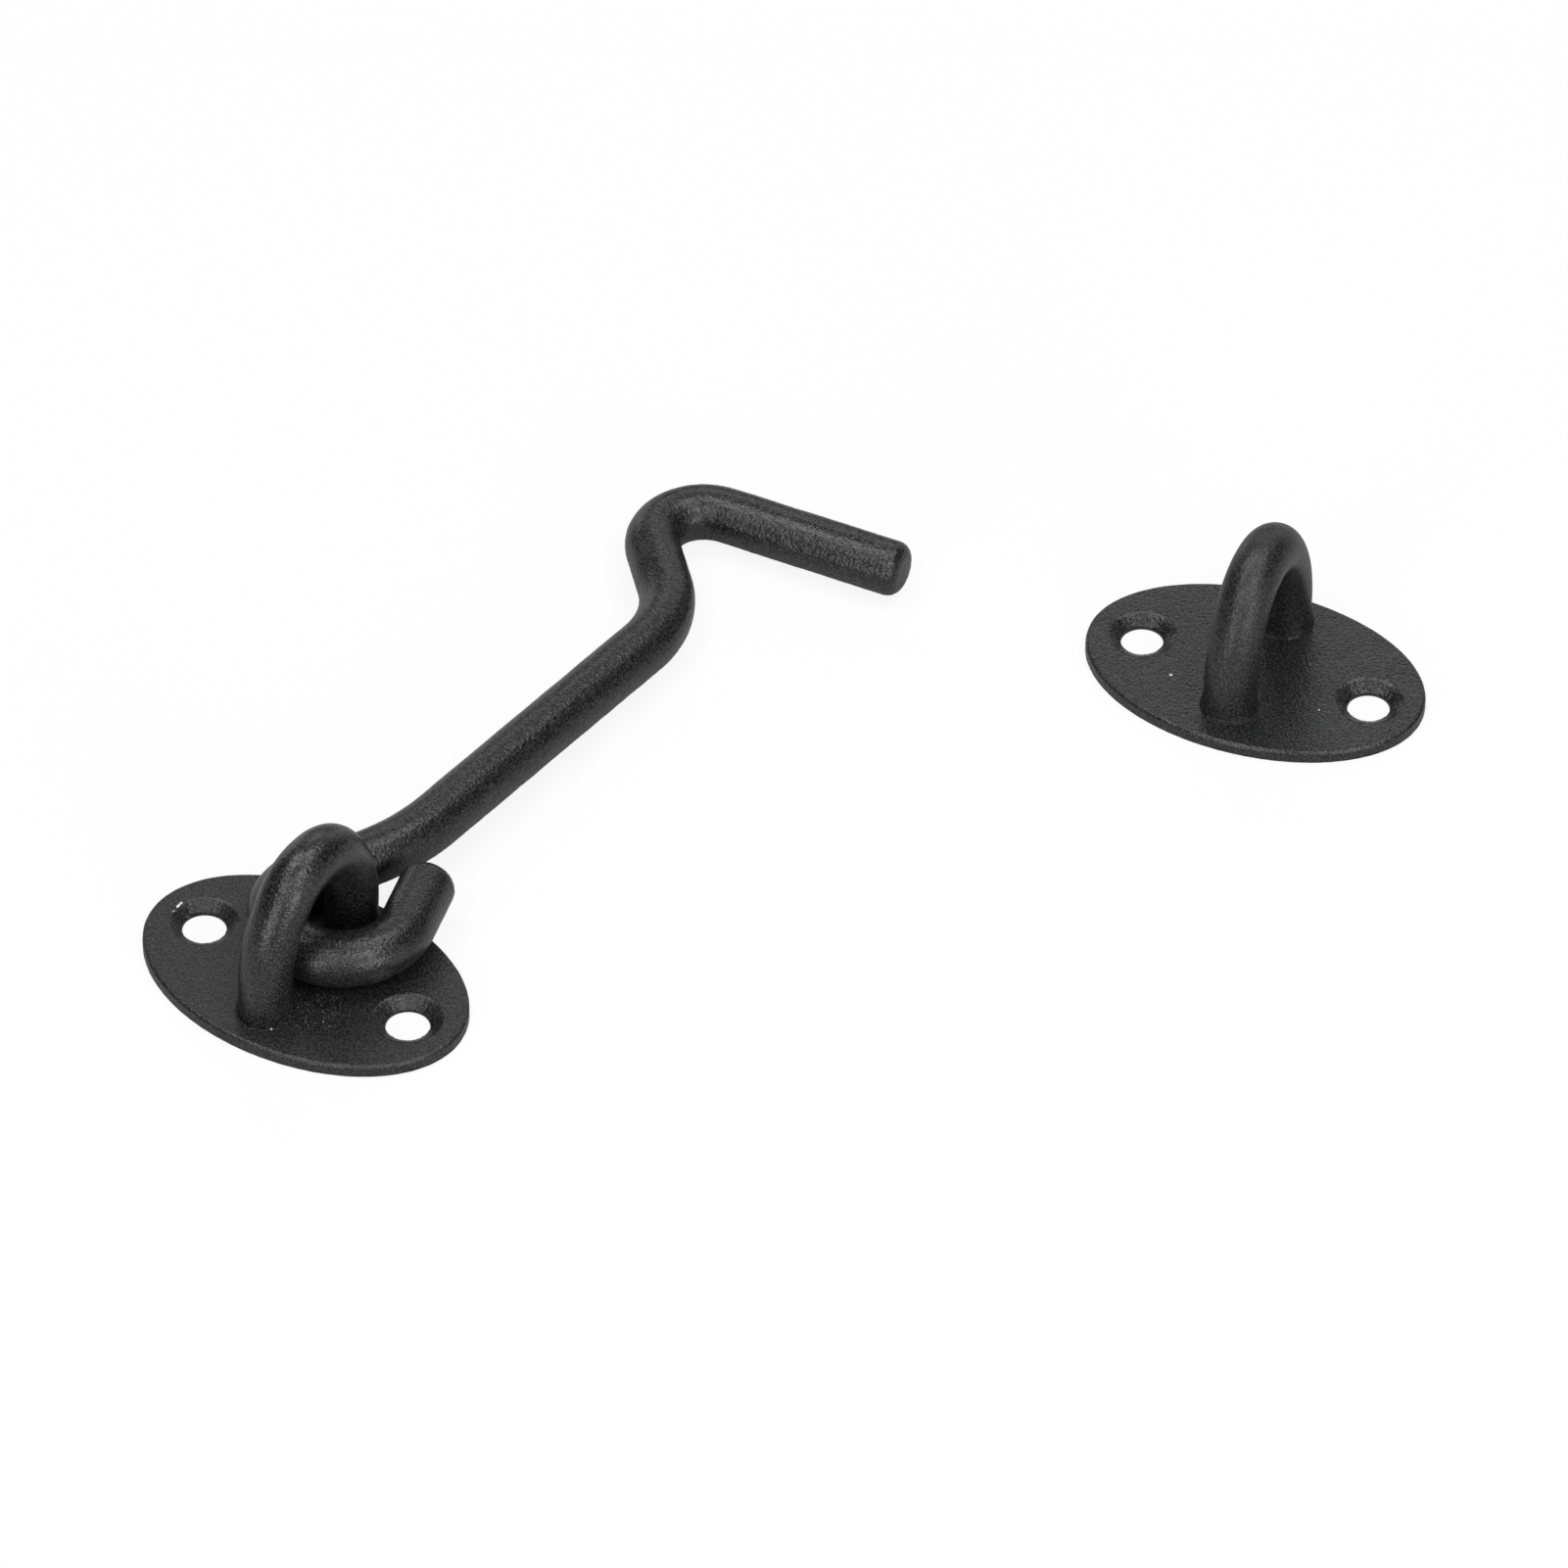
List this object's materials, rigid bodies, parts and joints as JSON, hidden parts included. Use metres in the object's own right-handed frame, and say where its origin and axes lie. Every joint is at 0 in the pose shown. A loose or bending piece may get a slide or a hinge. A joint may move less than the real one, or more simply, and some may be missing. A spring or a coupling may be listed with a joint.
{
  "type": "barn door latch",
  "caption": "Round-bar hook that swings on the staple of an oval screw-on plate and drops its bent nose into the staple of a separate oval catch plate.",
  "frame": {"origin": "middle of the hook plate's back face, on the surface that the plate is screwed to", "axes": "+X along the hook plate's long side, between its screw holes; +Y across the plate, the way the hook points at rest; +Z out of the surface that the plates are screwed to"},
  "size_m": [0.0926, 0.1202, 0.0197],
  "materials": {
    "black_powder_coat": "fine-textured matt black powder coat"
  },
  "bodies": {
    "plates": {"hook_plate": "black_powder_coat", "hook_staple": "black_powder_coat", "catch_plate": "black_powder_coat", "catch_staple": "black_powder_coat"},
    "hook": {"hook_bar": "black_powder_coat"}
  },
  "joints": [
    {"name": "hook_swing", "type": "hinge", "parent": "plates", "child": "hook", "pos_m": [0.00038, 0.00762, 0.00461], "axis": [0.0009, 0.0193, 0.9998], "range_deg": [-159, 150]}
  ]
}
